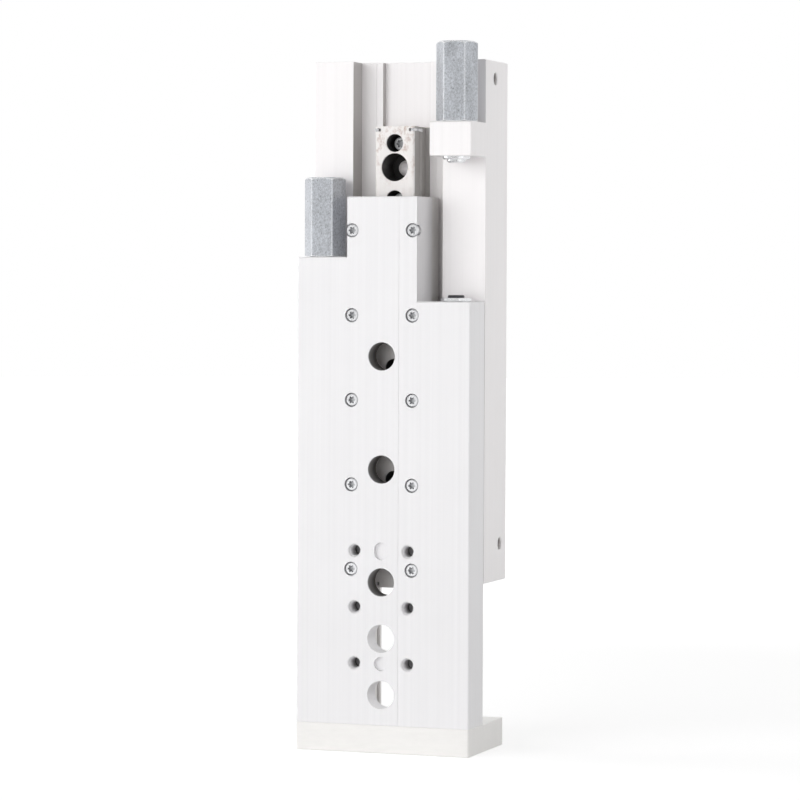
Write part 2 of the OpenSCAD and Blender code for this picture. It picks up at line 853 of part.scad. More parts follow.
module centring_holes() {
    floor_y = front_y + centring_depth;
    shift = (centring_slot_len - centring_d) / 2;
    first = slide_z + load_first;
    last = first + 2 * load_pitch_z;
    bar_y(guide_x, front_y - cut, floor_y, first, centring_d / 2);
    for (z = [last - shift, last + shift]) {
        bar_y(guide_x, front_y - cut, floor_y, z, centring_d / 2);
    }
    block([guide_x - centring_d / 2, front_y - cut, last - shift],
        [guide_x + centring_d / 2, floor_y, last + shift]);
}

module slide_rail_holes() {
    for (side = mirror_sides()) {
        for (i = [0 : outer_screw_count - 1]) {
            x = guide_x + side * outer_screw_x;
            bar_y(x, front_y - cut, slide_back_y + cut, outer_screw_z(i), m3_clear_r);
            bar_y(x, front_y - cut, front_y + head_sink + small_head_h, outer_screw_z(i),
                small_head_d / 2 + head_gap);
        }
    }
}

module slide_plate() {
    tongue = tongue_w / 2;
    web = outer_rail_x + web_clear;
    color(alu) difference() {
        translate([0, slide_back_y, 0]) rotate([90, 0, 0]) linear_extrude(slide_t) slide_outline();
        block([guide_x - web, web_back_y, slide_z - cut],
            [guide_x + web, slide_back_y + cut, tongue_top + cut]);
        block([guide_x + die_line_x, front_y - cut, slide_z - cut],
            [guide_x + die_line_x + die_line_w, front_y + die_line_deep, tongue_top + cut]);
        milled_pocket(left_stop_x - lug_w / 2 - lug_clear, left_stop_x + lug_w / 2 + lug_clear,
            front_y + pocket_wall, slide_back_y + cut,
            lug_bottom - up_travel - lug_clear - pocket_r, left_top - carrier_t, pocket_r);
        load_holes();
        centring_holes();
        slide_rail_holes();
        for (h = access_rows) {
            bar_y(guide_x, front_y - cut, web_back_y + cut, slide_z + h, access_d / 2);
        }
        bar_z(left_stop_x, stop_y, lower_tip, left_top + cut, barrel_d / 2 + fit_clear);
        bar_z(right_stop_x, stop_y, right_top - anvil_hole_depth, right_top + cut,
            anvil_screw_r + fit_clear);
        for (side = mirror_sides()) {
            bar_z(side * yoke_screw_x, stop_y, slide_z - cut, slide_z + yoke_hole_depth,
                m5_r + fit_clear);
            bevel_y(side * half_w, front_y, slide_back_y, slide_z, joint_bevel);
            bevel_z(side * half_w, front_y, slide_z, tongue_top, edge_bevel);
            bevel_z(side * half_w, slide_back_y, slide_z, tongue_top, edge_bevel);
        }
        bevel_x(-half_w, half_w, front_y, slide_z, joint_bevel);
        bevel_x(-half_w, guide_x - tongue - cut, front_y, left_top, edge_bevel);
        bevel_x(guide_x + tongue + cut, half_w, front_y, right_top, edge_bevel);
        bevel_x(guide_x - tongue, guide_x + tongue, front_y, tongue_top, edge_bevel);
        bevel_y(-half_w, front_y, slide_back_y, left_top, edge_bevel);
        bevel_y(half_w, front_y, slide_back_y, right_top, edge_bevel);
    }
}

module yoke() {
    back = back_y - yoke_inset;
    color(alu) difference() {
        block([-half_w, front_y, 0], [half_w, back, yoke_t]);
        for (side = mirror_sides()) {
            bar_z(side * yoke_screw_x, stop_y, -cut, yoke_t + cut, m5_r + shank_clear);
            bar_z(side * yoke_screw_x, stop_y, -cut, yoke_screw_sink + m5_head_h,
                m5_head_r + head_clear);
            bevel_y(side * half_w, front_y, back, yoke_t, joint_bevel);
            bevel_z(side * half_w, front_y, 0, yoke_t, edge_bevel);
            bevel_z(side * half_w, back, 0, yoke_t, edge_bevel);
            bevel_y(side * half_w, front_y, back, 0, edge_bevel);
        }
        on_both_bores() {
            translate([0, 0, -cut]) cylinder(h = yoke_t + 2 * cut, r = m4_r + shank_clear);
            translate([0, 0, -cut])
                cylinder(h = cut + yoke_screw_sink + m4_head_h, r = m4_head_r + head_clear);
            translate([0, 0, yoke_t - rod_seat]) cylinder(h = rod_seat + cut, r = rod_r + fit_clear);
        }
        bevel_x(-half_w, half_w, front_y, 0, edge_bevel);
        bevel_x(-half_w, half_w, front_y, yoke_t, joint_bevel);
        bevel_x(-half_w, half_w, back, 0, edge_bevel);
        bevel_x(-half_w, half_w, back, yoke_t, edge_bevel);
    }
}

module yoke_screws() {
    color(black_steel) for (side = mirror_sides()) {
        translate([side * yoke_screw_x, stop_y, yoke_screw_sink])
            socket_screw_up(m5_head_r, m5_head_h, m5_r,
                yoke_t - yoke_screw_sink - m5_head_h + yoke_screw_bite);
    }
}

// ---- Pistons and rods ----------------------------------------------------------------------

module piston_rod(side) {
    foot = yoke_t - rod_seat;
    color(bright_steel) on_bore(side) difference() {
        union() {
            translate([0, 0, foot]) cylinder(h = piston_z - foot, r = rod_r);
            translate([0, 0, piston_z - join]) cylinder(h = piston_len - stub_short, r = stub_r);
        }
        translate([0, 0, foot - cut]) cylinder(h = rod_thread_depth + cut, r = m4_r + fit_clear);
    }
}

module piston_rod_left() {
    piston_rod(-1);
}

module piston_rod_right() {
    piston_rod(1);
}

module rod_screws() {
    color(black_steel) on_both_bores() translate([0, 0, yoke_screw_sink])
        socket_screw_up(m4_head_r, m4_head_h, m4_r, yoke_t - rod_seat - m4_head_h + rod_screw_bite);
}

function piston_grooves() = [
    [low_seal, seal_w], [magnet_at, magnet_w], [guide_at, guide_w], [high_seal, seal_w]
];

module piston(side) {
    color(alu) on_bore(side) translate([0, 0, piston_z]) difference() {
        cylinder(h = piston_len, r = piston_r);
        translate([0, 0, -cut]) cylinder(h = piston_len + 2 * cut, r = stub_r + fit_clear);
        translate([0, 0, piston_len - nut_sink]) cylinder(h = nut_sink + cut, r = nut_pocket_r);
        for (groove = piston_grooves()) {
            ring(groove[0], groove[0] + groove[1], bore_r - groove_floor, bore_r + cut);
        }
    }
}

module piston_ring(side, at, width, outer) {
    on_bore(side) translate([0, 0, piston_z])
        ring(at + fit_clear, at + width - fit_clear, bore_r - groove_floor + fit_clear, outer);
}

module piston_left() {
    piston(-1);
}

module piston_right() {
    piston(1);
}

module piston_seals(side) {
    color(rubber) for (at = [low_seal, high_seal]) {
        piston_ring(side, at, seal_w, ring_r);
    }
}

module piston_seals_left() {
    piston_seals(-1);
}

module piston_seals_right() {
    piston_seals(1);
}

module magnet_left() {
    color(black_steel) piston_ring(-1, magnet_at, magnet_w, piston_r - 0.1);
}

module magnet_right() {
    color(black_steel) piston_ring(1, magnet_at, magnet_w, piston_r - 0.1);
}

module guide_ring_left() {
    color(resin) piston_ring(-1, guide_at, guide_w, ring_r);
}

module guide_ring_right() {
    color(resin) piston_ring(1, guide_at, guide_w, ring_r);
}

module piston_nuts() {
    color(bright_steel) on_both_bores() translate([0, 0, piston_top - nut_sink]) difference() {
        hex_bar(nut_flats, nut_h, 1, 1);
        translate([0, 0, -cut]) cylinder(h = nut_h + 2 * cut, r = stub_r + fit_clear);
    }
}

// ---- Stops ---------------------------------------------------------------------------------

module stop_cap() {
    rotate([0, 0, cap_turn]) difference() {
        hex_bar(cap_flats, cap_len, 0.4, 1);
        translate([0, 0, -cut]) cylinder(h = cut + barrel_up + cap_room, r = barrel_d / 2 + fit_clear);
        translate([0, 0, -cut])
            cylinder(h = cut + lead_in, r1 = barrel_d / 2 + lead_in + cut, r2 = barrel_d / 2);
    }
}

module stop_barrel() {
    difference() {
        union() {
            translate([0, 0, barrel_low + edge_c])
                cylinder(h = barrel_up - barrel_low - edge_c, r = barrel_d / 2);
            translate([0, 0, barrel_low])
                cylinder(h = edge_c, r1 = barrel_d / 2 - edge_c, r2 = barrel_d / 2);
        }
        translate([0, 0, barrel_low - cut])
            cylinder(h = barrel_up - barrel_low + 2 * cut, r = pin_d / 2 + run_clear);
        translate([0, 0, barrel_low + neck_h]) cylinder(h = barrel_up - barrel_low, r = barrel_bore_r);
    }
}

module buffer_pin() {
    pin_r = pin_d / 2;
    head_r = barrel_bore_r - run_clear;
    head_top = pin_head_z + pin_head_h;
    rotate_extrude() polygon([
        [0, -tip_drop], [pin_r - tip_bevel, -tip_drop], [pin_r, -tip_drop + tip_bevel],
        [pin_r, pin_head_z], [head_r, pin_head_z], [head_r, head_top], [0, head_top]
    ]);
}

module cushion() {
    r = barrel_bore_r - cushion_gap;
    top = cushion_z + cushion_h;
    rotate_extrude() polygon([
        [0, cushion_z], [r - cushion_bevel, cushion_z], [r, cushion_z + cushion_bevel],
        [r, top - cushion_bevel], [r - cushion_bevel, top], [0, top]
    ]);
}

module stop_plug() {
    low = cushion_z + cushion_h;
    difference() {
        translate([0, 0, low]) cylinder(h = barrel_up - low, r = barrel_bore_r - fit_clear);
        translate([0, 0, barrel_up - plug_drive_h])
            cylinder(h = plug_drive_h + cut, r = plug_drive_r, $fn = 6);
    }
}

module at_retract_stop() {
    translate([right_stop_x, stop_y, bracket_top]) children();
}

module at_extend_stop() {
    translate([left_stop_x, stop_y, left_top]) children();
}

module retract_stop_cap() {
    color(zinc) at_retract_stop() stop_cap();
}

module retract_stop_barrel() {
    color(bright_steel) at_retract_stop() stop_barrel();
}

module retract_cushion() {
    color(rubber) at_retract_stop() cushion();
}

module retract_stop_plug() {
    color(black_steel) at_retract_stop() stop_plug();
}

module retract_buffer_pin() {
    color(bright_steel) at_retract_stop() buffer_pin();
}

module extend_stop_cap() {
    color(zinc) at_extend_stop() stop_cap();
}

module extend_stop_barrel() {
    color(bright_steel) at_extend_stop() stop_barrel();
}

module extend_cushion() {
    color(rubber) at_extend_stop() cushion();
}

module extend_stop_plug() {
    color(black_steel) at_extend_stop() stop_plug();
}

module extend_buffer_pin() {
    color(bright_steel) at_extend_stop() buffer_pin();
}

// A hardened set screw, which the pin strikes, and the thin nut that locks it
module anvil_screw() {
    low = anvil_out - anvil_screw_len;
    color(black_steel) rotate_extrude() polygon([
        [0, low], [anvil_screw_r - tip_bevel, low], [anvil_screw_r, low + tip_bevel],
        [anvil_screw_r, anvil_out - mouth_c], [anvil_screw_r - mouth_c, anvil_out], [0, anvil_out]
    ]);
}

module anvil_nut() {
    color(bright_steel) difference() {
        hex_bar(anvil_nut_flats, anvil_nut_h, 0.4, 0.4);
        translate([0, 0, -cut]) cylinder(h = anvil_nut_h + 2 * cut, r = anvil_screw_r + fit_clear);
    }
}

module retract_anvil_screw() {
    translate([right_stop_x, stop_y, right_top]) anvil_screw();
}

module retract_anvil_nut() {
    translate([right_stop_x, stop_y, right_top]) anvil_nut();
}

module extend_anvil_screw() {
    translate([left_stop_x, stop_y, lug_top]) anvil_screw();
}

module extend_anvil_nut() {
    translate([left_stop_x, stop_y, lug_top]) anvil_nut();
}

housing();
guide_rail();
guide_rail_screws();
cage_stops();
retract_stop_cap();
retract_stop_barrel();
retract_cushion();
retract_stop_plug();
extend_anvil_screw();
extend_anvil_nut();
top_plug_left();
top_plug_right();
top_plug_seals();
top_circlips();
bearing_cap_left();
bearing_cap_right();
bearing_cap_seals();
rod_seals();
bottom_circlips();
passage_plugs();
slide_plate();
yoke();
yoke_screws();
outer_rail_left();
outer_rail_right();
outer_rail_screws();
extend_stop_cap();
extend_stop_barrel();
extend_cushion();
extend_stop_plug();
retract_anvil_screw();
retract_anvil_nut();
piston_rod_left();
piston_rod_right();
piston_left();
piston_right();
piston_seals_left();
piston_seals_right();
magnet_left();
magnet_right();
guide_ring_left();
guide_ring_right();
piston_nuts();
rod_screws();
ball_cage_left();
ball_cage_right();
balls_left();
balls_right();
retract_buffer_pin();
extend_buffer_pin();
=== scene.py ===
"""A pneumatic slide table in a white room: its finishes and cut threads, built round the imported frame."""

import json
import math

import bmesh
import bpy
from mathutils import Matrix, Vector


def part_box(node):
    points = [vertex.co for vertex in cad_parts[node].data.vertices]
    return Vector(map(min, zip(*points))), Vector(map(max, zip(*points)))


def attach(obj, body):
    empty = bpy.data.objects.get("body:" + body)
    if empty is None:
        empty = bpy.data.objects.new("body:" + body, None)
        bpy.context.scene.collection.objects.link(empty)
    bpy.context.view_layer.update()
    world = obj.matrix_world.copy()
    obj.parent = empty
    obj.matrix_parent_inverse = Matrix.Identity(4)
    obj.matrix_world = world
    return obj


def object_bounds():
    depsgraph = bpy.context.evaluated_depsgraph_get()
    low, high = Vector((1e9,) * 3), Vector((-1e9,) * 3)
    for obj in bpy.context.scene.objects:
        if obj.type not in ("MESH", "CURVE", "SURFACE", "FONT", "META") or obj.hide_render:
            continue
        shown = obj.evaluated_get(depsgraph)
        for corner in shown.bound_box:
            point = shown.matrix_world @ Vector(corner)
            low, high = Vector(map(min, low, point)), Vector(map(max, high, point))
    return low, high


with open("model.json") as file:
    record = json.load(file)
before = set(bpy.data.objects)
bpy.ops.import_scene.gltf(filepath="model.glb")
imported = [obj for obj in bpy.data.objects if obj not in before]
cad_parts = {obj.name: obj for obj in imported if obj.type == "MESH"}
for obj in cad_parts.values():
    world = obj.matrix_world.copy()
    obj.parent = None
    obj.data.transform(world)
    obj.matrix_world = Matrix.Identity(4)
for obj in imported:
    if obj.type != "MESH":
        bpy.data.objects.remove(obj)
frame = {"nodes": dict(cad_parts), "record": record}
cad_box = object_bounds()

MM = 0.001
X, Y, Z = range(3)
RIGHT = Vector((1, 0, 0))
BACK = Vector((0, 1, 0))
UP = Vector((0, 0, 1))
mounts = {mount["name"]: mount for mount in frame["record"]["mounts"]}
openings = {opening["name"]: opening["box_m"] for opening in frame["record"]["physics"]["openings"]}

# Sizes that the record doesn't give
ACCESS_HOLE_R = 5 * MM
ACCESS_HOLE_DEPTH = 8 * MM
# From the middle of the load holes up to the middle one of the three access holes that lie over the guide
MIDDLE_ACCESS_HOLE = 48.98 * MM
RAIL_HOLE_R = 5 * MM
RAIL_HEAD_HALF = 7.35 * MM
RAIL_TRACK_DEPTH = 1.3 * MM
# Where the seats of the rail's mounting screws lie
RAIL_SEAT_Y = 4.4 * MM
# From the stated opening of the guide's channel to its walls, and from the rail's foot to its seat's walls
CHANNEL_CLEARANCE = 0.3 * MM
SEAT_CLEARANCE = 0.1 * MM
# How far a step from one shade to the next takes, where it should look sharp
STEP = 0.05 * MM

THREAD_PITCH = 0.8 * MM
THREAD_DEPTH = 0.3 * MM
# Half a ridge's width, over the pitch
RIDGE_HALF = 0.42
# How far a ridge's root goes into the wall of its hole, and how far a thread starts below the face
THREAD_BITE = 0.01 * MM
THREAD_SINK = 0.5 * MM
LOAD_THREAD_LENGTH = 6.3 * MM
PORT_THREAD_LENGTH = 3.5 * MM
STEPS_A_TURN = 24

# Painted shade: the dark colour down in the slide plate's load holes and access holes
PAINTED_BORE_SHADE = (0.10, 0.092, 0.087)
# Painted shade on the side walls of the housing's guide channel
CHANNEL_WALL_SHADE = (0.56, 0.54, 0.53)
# Painted shade on the guide rail's flanks
RAIL_FLANK_SHADE = (0.50, 0.485, 0.47)
# Painted shade in the guide rail's screw seats
SEAT_SHADE = (0.035, 0.033, 0.032)
RUST = (0.42, 0.27, 0.21)
# Painted shade behind the faces of the screw heads
SCREW_RECESS_SHADE = (0.55, 0.555, 0.57)
# Painted highlight along the sharp edges of the zinc-plated caps
ZINC_EDGE_HIGHLIGHT = (0.97, 0.975, 0.98)

# The two colours that go into a mix node, and the one that comes out
MIX_FIRST = 6
MIX_SECOND = 7
MIX_RESULT = 2


# ---------------------------------------------------------------- finishes

class Finish:
    """One procedural finish, built round its own Principled shader."""

    def __init__(self, name, metallic, roughness):
        self.material = bpy.data.materials.new(name)
        self.material.use_nodes = True
        self.nodes = self.material.node_tree.nodes
        self.links = self.material.node_tree.links
        self.shader = self.nodes["Principled BSDF"]
        self.shader.inputs["Metallic"].default_value = metallic
        self.shader.inputs["Roughness"].default_value = roughness
        self.place = self.nodes.new("ShaderNodeTexCoord").outputs["Object"]

    def grain(self, cells, detail=2.0, roughness=0.5):
        """Noise with that many cells a metre along X, Y and Z."""
        stretch = self.nodes.new("ShaderNodeMapping")
        stretch.inputs["Scale"].default_value = cells
        self.links.new(self.place, stretch.inputs["Vector"])
        noise = self.nodes.new("ShaderNodeTexNoise")
        noise.inputs["Scale"].default_value = 1.0
        noise.inputs["Detail"].default_value = detail
        noise.inputs["Roughness"].default_value = roughness
        self.links.new(stretch.outputs["Vector"], noise.inputs["Vector"])
        return noise.outputs["Fac"]

    def fit(self, value, low, high, start=0.3, end=0.7):
        """value from start to end becomes low to high, and stays there beyond them."""
        span = self.nodes.new("ShaderNodeMapRange")
        span.inputs["From Min"].default_value = start
        span.inputs["From Max"].default_value = end
        span.inputs["To Min"].default_value = low
        span.inputs["To Max"].default_value = high
        self.links.new(value, span.inputs["Value"])
        return span.outputs["Result"]

    def past(self, value, start, end):
        """0 up to start, and 1 from end on."""
        return self.fit(value, 0, 1, start, end)

    def short_of(self, value, start, end):
        """1 up to start, and 0 from end on."""
        return self.fit(value, 1, 0, start, end)

    def work(self, operation, *values):
        """A plain operation on values and numbers."""
        node = self.nodes.new("ShaderNodeMath")
        node.operation = operation
        for socket, value in zip(node.inputs, values):
            if isinstance(value, (int, float)):
                socket.default_value = value
            else:
                self.links.new(value, socket)
        return node.outputs["Value"]

    def sum(self, first, second):
        """The sum of two values."""
        return self.work("ADD", first, second)

    def all_of(self, *factors):
        """1 where every factor is 1."""
        whole = factors[0]
        for factor in factors[1:]:
            whole = self.work("MULTIPLY", whole, factor)
        return whole

    def along(self, axis):
        """The place along an axis."""
        split = self.nodes.new("ShaderNodeSeparateXYZ")
        self.links.new(self.place, split.inputs["Vector"])
        return split.outputs[axis]

    def from_plane(self, value, plane):
        """How far a value is from a plane's."""
        return self.work("ABSOLUTE", self.work("SUBTRACT", value, plane))

    def away(self, axis, centre):
        """The distance from a centre along an axis."""
        return self.from_plane(self.along(axis), centre)

    def blend(self, factor, first, second):
        """first where factor is 0 and second where it is 1. Each is a plain colour or a blend."""
        mix = self.nodes.new("ShaderNodeMix")
        mix.data_type = "RGBA"
        self.links.new(factor, mix.inputs["Factor"])
        for index, colour in ((MIX_FIRST, first), (MIX_SECOND, second)):
            if isinstance(colour, tuple):
                mix.inputs[index].default_value = (*colour, 1)
            else:
                self.links.new(colour, mix.inputs[index])
        return mix.outputs[MIX_RESULT]

    def rounded(self, radius, samples):
        """The surface's direction, turned near its edges as if they were rounded to that radius."""
        bevel = self.nodes.new("ShaderNodeBevel")
        bevel.samples = samples
        bevel.inputs["Radius"].default_value = radius
        return bevel.outputs["Normal"]

    def at_edges(self, radius):
        """1 on the sharp outer edges, within that radius."""
        turned = self.nodes.new("ShaderNodeVectorMath")
        turned.operation = "DOT_PRODUCT"
        self.links.new(self.rounded(radius, samples=8), turned.inputs[0])
        self.links.new(self.nodes.new("ShaderNodeNewGeometry").outputs["True Normal"], turned.inputs[1])
        return self.short_of(turned.outputs["Value"], 0.93, 0.988)

    def done(self, skin, gloss, relief, edges=None):
        """The finished material.

        skin is its colour. gloss is a value and the roughness at its low and at its high end. relief is a
        height from 0 to 1 and the depth that it stands for. edges is the radius to which the light rounds
        the sharp edges, as a light deburring does.
        """
        self.links.new(skin, self.shader.inputs["Base Color"])
        self.links.new(self.fit(*gloss), self.shader.inputs["Roughness"])
        height, depth = relief
        bump = self.nodes.new("ShaderNodeBump")
        bump.inputs["Distance"].default_value = depth
        self.links.new(height, bump.inputs["Height"])
        if edges:
            self.links.new(self.rounded(edges, samples=6), bump.inputs["Normal"])
        self.links.new(bump.outputs["Normal"], self.shader.inputs["Normal"])
        return self.material


def scaled(colour, factor):
    """A lighter or darker copy of a colour."""
    return tuple(part * factor for part in colour)


def wear(piece, material):
    """Gives a piece its one finish."""
    if not piece.material_slots:
        piece.data.materials.append(material)
    for slot in piece.material_slots:
        slot.material = material


def drawn_aluminium(name, colour, darker=None, shade=None):
    """Clear anodised extrusion: satin, with faint drawing lines up its length.

    darker says where painted shade goes: there the surface has the shade instead of the colour.
    """
    finish = Finish(name, metallic=0.3, roughness=0.45)
    lines = finish.grain((700, 700, 2.5), detail=4.0, roughness=0.7)
    cloud = finish.grain((45, 45, 30), detail=2.0)
    mottle = finish.sum(finish.fit(lines, 0, 0.7), finish.fit(cloud, 0, 0.3))
    skin = finish.blend(mottle, scaled(colour, 0.95), scaled(colour, 1.02))
    if darker:
        skin = finish.blend(darker(finish), skin, shade)
    texture = finish.grain((2600, 2600, 30), detail=3.0)
    return finish.done(skin, (lines, 0.40, 0.52), (texture, 0.003 * MM), edges=0.15 * MM)


def milled_aluminium():
    """Clear anodised plate with a fine even tooth from milling."""
    finish = Finish("milled_aluminium", metallic=0.3, roughness=0.45)
    colour = (0.91, 0.897, 0.878)
    tooth = finish.grain((260, 900, 900), detail=3.0, roughness=0.6)
    cloud = finish.grain((60, 60, 60), detail=2.0)
    mottle = finish.sum(finish.fit(tooth, 0, 0.6), finish.fit(cloud, 0, 0.4))
    skin = finish.blend(mottle, scaled(colour, 0.965), scaled(colour, 1.02))
    return finish.done(skin, (tooth, 0.42, 0.52), (tooth, 0.003 * MM), edges=0.15 * MM)


def ground_steel():
    """Hardened rail steel, ground along its length."""
    finish = Finish("ground_steel", metallic=0.35, roughness=0.38)
    colour = (0.90, 0.885, 0.865)
    scratches = finish.grain((2200, 2200, 12), detail=4.0, roughness=0.7)
    stain = finish.grain((90, 90, 25), detail=3.0, roughness=0.6)
    mottle = finish.sum(finish.fit(scratches, 0, 0.55), finish.fit(stain, 0, 0.45))
    skin = finish.blend(mottle, scaled(colour, 0.88), scaled(colour, 1.05))
    return finish.done(skin, (scratches, 0.3, 0.44), (scratches, 0.002 * MM), edges=0.12 * MM)


def rail_steel():
    """The guide rail: ground steel with rust by its upper end, and painted shade on its flanks and in its
    screw seats.
    """
    finish = Finish("rail_steel", metallic=0.2, roughness=0.42)
    colour = (0.90, 0.872, 0.855)
    scratches = finish.grain((2200, 2200, 12), detail=4.0, roughness=0.7)
    skin = finish.blend(scratches, scaled(colour, 0.92), scaled(colour, 1.04))
    skin = finish.blend(rust_bloom(finish), skin, RUST)
    skin = finish.blend(rail_flank_shade(finish), skin, RAIL_FLANK_SHADE)
    skin = finish.blend(rail_seat_shade(finish), skin, SEAT_SHADE)
    return finish.done(skin, (scratches, 0.34, 0.46), (scratches, 0.002 * MM), edges=0.12 * MM)


def bright_steel(name="bright_steel", faces_at=None):
    """Bright turned or rolled steel with fine marks.

    faces_at is where the faces of screw heads lie along Y. Behind them the steel gets painted shade, in their
    drives and round their heads.
    """
    finish = Finish(name, metallic=0.9 if faces_at is None else 0.4, roughness=0.2)
    colour = (0.82, 0.825, 0.84)
    marks = finish.grain((1500, 1500, 1500), detail=3.0, roughness=0.6)
    skin = finish.blend(marks, scaled(colour, 0.9), scaled(colour, 1.05))
    if faces_at is not None:
        behind = finish.past(finish.along(Y), faces_at + 0.25 * MM, faces_at + 0.6 * MM)
        skin = finish.blend(behind, skin, SCREW_RECESS_SHADE)
    return finish.done(skin, (marks, 0.15, 0.28), (marks, 0.0015 * MM), edges=0.08 * MM)


def blue_zinc():
    """Blue zinc plating over drawn hexagon bar: mottled, with fine crystals and painted highlights along its
    edges.
    """
    finish = Finish("blue_zinc", metallic=0.6, roughness=0.36)
    colour = (0.525, 0.545, 0.58)
    crystals = finish.grain((1900, 1900, 1300), detail=3.0, roughness=0.8)
    clouds = finish.grain((170, 170, 70), detail=3.0, roughness=0.6)
    mottle = finish.sum(finish.fit(crystals, 0, 0.65, 0.38, 0.62), finish.fit(clouds, 0, 0.35))
    skin = finish.blend(mottle, scaled(colour, 0.62), scaled(colour, 1.3))
    # Painted highlight along the sharp edges
    skin = finish.blend(finish.at_edges(0.9 * MM), skin, ZINC_EDGE_HIGHLIGHT)
    return finish.done(skin, (crystals, 0.26, 0.42), (crystals, 0.008 * MM), edges=0.28 * MM)


def cut_thread():
    """A thread's cut metal, made dark as painted shade for its place down in a hole."""
    finish = Finish("cut_thread", metallic=0.6, roughness=0.4)
    marks = finish.grain((1800, 1800, 1800), detail=3.0)
    skin = finish.blend(marks, (0.22, 0.205, 0.195), (0.46, 0.44, 0.43))
    return finish.done(skin, (marks, 0.34, 0.46), (marks, 0.002 * MM))


def black_steel():
    """Blackened steel, with a thin oil sheen and lighter worn grains."""
    finish = Finish("black_steel", metallic=0.5, roughness=0.38)
    grains = finish.grain((2200, 2200, 2200), detail=3.0, roughness=0.7)
    skin = finish.blend(grains, (0.018, 0.018, 0.02), (0.075, 0.075, 0.08))
    return finish.done(skin, (grains, 0.3, 0.46), (grains, 0.003 * MM), edges=0.1 * MM)


def bearing_bronze():
    """Turned bearing bronze."""
    finish = Finish("bronze", metallic=0.9, roughness=0.32)
    turning = finish.grain((300, 300, 5000), detail=2.0)
    skin = finish.blend(turning, (0.42, 0.27, 0.11), (0.62, 0.42, 0.20))
    return finish.done(skin, (turning, 0.26, 0.4), (turning, 0.002 * MM), edges=0.08 * MM)


def nitrile():
    """Moulded nitrile rubber with a dull bloom."""
    finish = Finish("rubber", metallic=0.0, roughness=0.65)
    bloom = finish.grain((900, 900, 900), detail=4.0, roughness=0.7)
    skin = finish.blend(bloom, (0.009, 0.009, 0.010), (0.026, 0.026, 0.028))
    return finish.done(skin, (bloom, 0.55, 0.75), (bloom, 0.004 * MM))


def sliding_resin():
    """Cream sliding resin with a waxy gloss."""
    finish = Finish("resin", metallic=0.0, roughness=0.4)
    flecks = finish.grain((1200, 1200, 1200), detail=3.0)
    skin = finish.blend(flecks, (0.52, 0.47, 0.36), (0.66, 0.62, 0.50))
    return finish.done(skin, (flecks, 0.34, 0.48), (flecks, 0.002 * MM))


# ---------------------------------------------------------------- where a finish changes, and where painted shade goes

def half_spacings(pattern):
    """Half the two spacings of a bolt pattern, in metres."""
    dims = pattern["dims"]
    return dims["spacing_x_mm"] * MM / 2, dims["spacing_y_mm"] * MM / 2


def slide_bore_shade(finish):
    """1 where painted shade goes in the slide plate's bores. Its load holes get a little less of it."""
    threaded = finish.work("MULTIPLY", load_hole_shade(finish), 0.75)
    return finish.work("MAXIMUM", threaded, access_hole_shade(finish))


def load_hole_shade(finish):
    """1 for painted shade down in the threaded load holes, and less on the crests of their threads."""
    grid = mounts["slide_load_holes"]
    centre = grid["pos_m"]
    hole_r = grid["dims"]["hole_r_mm"] * MM
    half_x, half_z = half_spacings(grid)
    from_column = finish.work("SUBTRACT", finish.away(X, centre[X]), half_x)
    from_row = finish.work("PINGPONG", finish.away(Z, centre[Z]), half_z / 2)
    out = finish.work("SQRT", finish.sum(
        finish.work("MULTIPLY", from_column, from_column), finish.work("MULTIPLY", from_row, from_row)))
    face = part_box("slide_plate")[0].y
    return finish.all_of(
        finish.short_of(out, hole_r + 0.25 * MM, hole_r + 0.45 * MM),
        finish.fit(out, 0.25, 1, hole_r - THREAD_DEPTH + 0.03 * MM, hole_r - 0.03 * MM),
        finish.short_of(finish.away(Z, centre[Z]), half_z + 3 * MM, half_z + 4 * MM),
        finish.past(finish.along(Y), face + 1.6 * MM, face + 6.0 * MM),
    )


def access_hole_shade(finish):
    """1 in the access holes over the guide, for painted shade on their walls that deepens further in.

    They are as far apart as the housing's mounting holes.
    """
    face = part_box("slide_plate")[0].y
    pitch = mounts["housing_mounting_holes_inner"]["dims"]["spacing_y_mm"] * MM
    centre = mounts["slide_load_holes"]["pos_m"]
    row = centre[Z] + MIDDLE_ACCESS_HOLE
    wall = (ACCESS_HOLE_R + 0.05 * MM, ACCESS_HOLE_R + 0.15 * MM)
    return finish.all_of(
        finish.short_of(finish.away(X, centre[X]), *wall),
        finish.short_of(finish.work("PINGPONG", finish.away(Z, row), pitch / 2), *wall),
        finish.past(finish.along(Z), row - 1.5 * pitch, row - 1.4 * pitch),
        finish.past(finish.along(Y), face + 0.4 * MM, face + 1.2 * MM),
        finish.fit(finish.along(Y), 0.55, 1, face + 0.4 * MM, face + 6 * MM),
        finish.short_of(finish.along(Y), face + ACCESS_HOLE_DEPTH, face + ACCESS_HOLE_DEPTH + 2 * STEP),
    )


def channel_wall_shade(finish):
    """1 on the side walls of the guide's channel and of the rail's seat, for painted shade there."""
    channel_low, channel_high = openings["guide_channel_top"]
    rail_low, rail_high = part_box("guide_rail")
    foot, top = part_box("housing")
    off_centre = finish.away(X, (rail_low.x + rail_high.x) / 2)
    halves = (
        (channel_high[X] - channel_low[X]) / 2 + CHANNEL_CLEARANCE,
        (rail_high.x - rail_low.x) / 2 + SEAT_CLEARANCE,
    )
    planes = [finish.short_of(finish.from_plane(off_centre, half), 0.03 * MM, 0.06 * MM) for half in halves]
    return finish.all_of(
        finish.work("MAXIMUM", *planes),
        finish.short_of(finish.along(Y), rail_high.y + STEP, rail_high.y + 2 * STEP),
        finish.past(finish.along(Z), foot.z + STEP, foot.z + 2 * STEP),
        finish.short_of(finish.along(Z), top.z - 2 * STEP, top.z - STEP),
    )


